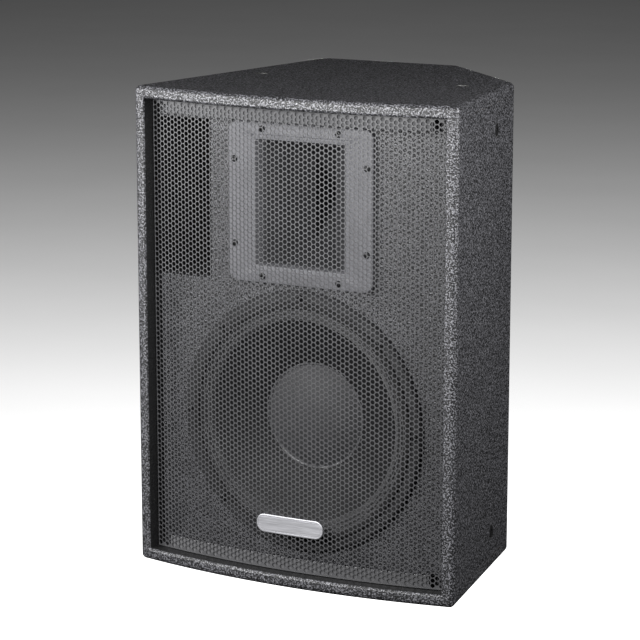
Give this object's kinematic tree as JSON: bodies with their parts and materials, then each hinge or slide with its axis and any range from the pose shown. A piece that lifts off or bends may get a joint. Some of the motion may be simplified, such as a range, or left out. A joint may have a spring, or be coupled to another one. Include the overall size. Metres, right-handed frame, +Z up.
{
  "type": "pa speaker cabinet",
  "caption": "Passive two-way loudspeaker cabinet with a bowed grille, woofer, horn, side port and one chamfered rear corner",
  "frame": {"origin": "on the floor under the rubber feet, in the middle of the overall width and depth", "axes": "+Z up, -Y out of the grille, +X towards the side with the chamfered rear corner"},
  "size_m": [0.4202, 0.392, 0.586],
  "materials": {
    "cabinet_paint": "black textured paint on plywood",
    "baffle_paint": "black textured paint on plywood",
    "bare_wood": "raw plywood",
    "grille_paint": "black powder coat",
    "strip_felt": "grey hook-and-loop strip",
    "badge_metal": "satin, blank",
    "damping_felt": "grey polyester fleece",
    "horn_plastic": "satin moulded",
    "foam_rubber": "matt",
    "frame_paint": "satin black",
    "cone_paper": "coated paper",
    "surround_cloth": "doped pleated cloth",
    "spider_cloth": "resin-treated cloth",
    "former_film": "film",
    "copper": "enamelled wire",
    "ferrite": "matt ceramic",
    "plated_steel": "zinc plated",
    "black_screw": "black zinc",
    "diaphragm_film": "thin formed film",
    "black_plastic": "moulded",
    "brass_contact": "contact metal",
    "rubber": "matt",
    "circuit_board": "solder-masked board",
    "capacitor_film": "wrapped film",
    "resistor_ceramic": "cement",
    "cable_jacket": "insulated"
  },
  "bodies": {
    "cabinet": {"bottom_board": "cabinet_paint", "top_board": "cabinet_paint", "right_side_board": "cabinet_paint", "left_side_board": "cabinet_paint", "chamfer_board": "cabinet_paint", "rear_board": "cabinet_paint", "baffle_board": "baffle_paint", "cross_brace": "bare_wood", "damping_sheets": "damping_felt", "grille": "grille_paint", "fastening_strips": "strip_felt", "grille_batten_bottom": "baffle_paint", "grille_batten_top": "baffle_paint", "blank_badge": "badge_metal", "port_divider": "bare_wood", "port_shelves": "bare_wood", "woofer_frame": "frame_paint", "woofer_gasket": "foam_rubber", "woofer_screws": "black_screw", "woofer_surround": "surround_cloth", "woofer_spider": "spider_cloth", "woofer_top_plate": "plated_steel", "woofer_magnet": "ferrite", "woofer_back_plate": "plated_steel", "woofer_terminals": "black_plastic", "horn": "horn_plastic", "horn_gasket": "foam_rubber", "horn_screws": "black_screw", "driver_front_plate": "plated_steel", "driver_magnet": "ferrite", "driver_top_plate": "plated_steel", "driver_phase_plug": "black_plastic", "driver_clamp_ring": "black_plastic", "driver_surround": "diaphragm_film", "driver_rear_cover": "black_plastic", "driver_cover_screws": "black_screw", "driver_mounting_bolts": "black_screw", "speaker_sockets": "black_plastic", "socket_tabs": "brass_contact", "connector_plate": "frame_paint", "connector_plate_screws": "black_screw", "pole_socket": "black_plastic", "pole_socket_screws": "black_screw", "rubber_feet": "rubber", "foot_screws": "plated_steel", "rigging_inserts": "plated_steel", "rigging_blanking_screws": "black_screw", "pull_back_insert": "plated_steel", "crossover_standoffs": "black_plastic", "crossover_board": "circuit_board", "crossover_coils": "copper", "crossover_capacitors": "capacitor_film", "crossover_resistors": "resistor_ceramic", "internal_cables": "cable_jacket"},
    "woofer_cone": {"woofer_cone": "cone_paper", "woofer_dust_cap": "cone_paper", "woofer_coil_former": "former_film", "woofer_voice_coil": "copper"},
    "horn_diaphragm": {"driver_diaphragm": "diaphragm_film", "driver_voice_coil": "copper"}
  },
  "joints": [
    {"name": "cone_travel", "type": "slide", "parent": "cabinet", "child": "woofer_cone", "axis": [0, -1, 0], "range_m": [-0.006, 0.006], "stiffness_N_per_m": 3200, "deforming": ["woofer_surround", "woofer_spider"]},
    {"name": "diaphragm_travel", "type": "slide", "parent": "cabinet", "child": "horn_diaphragm", "axis": [0, -1, 0], "range_m": [-0.0003, 0.0003], "stiffness_N_per_m": 9000, "deforming": ["driver_surround"]}
  ]
}
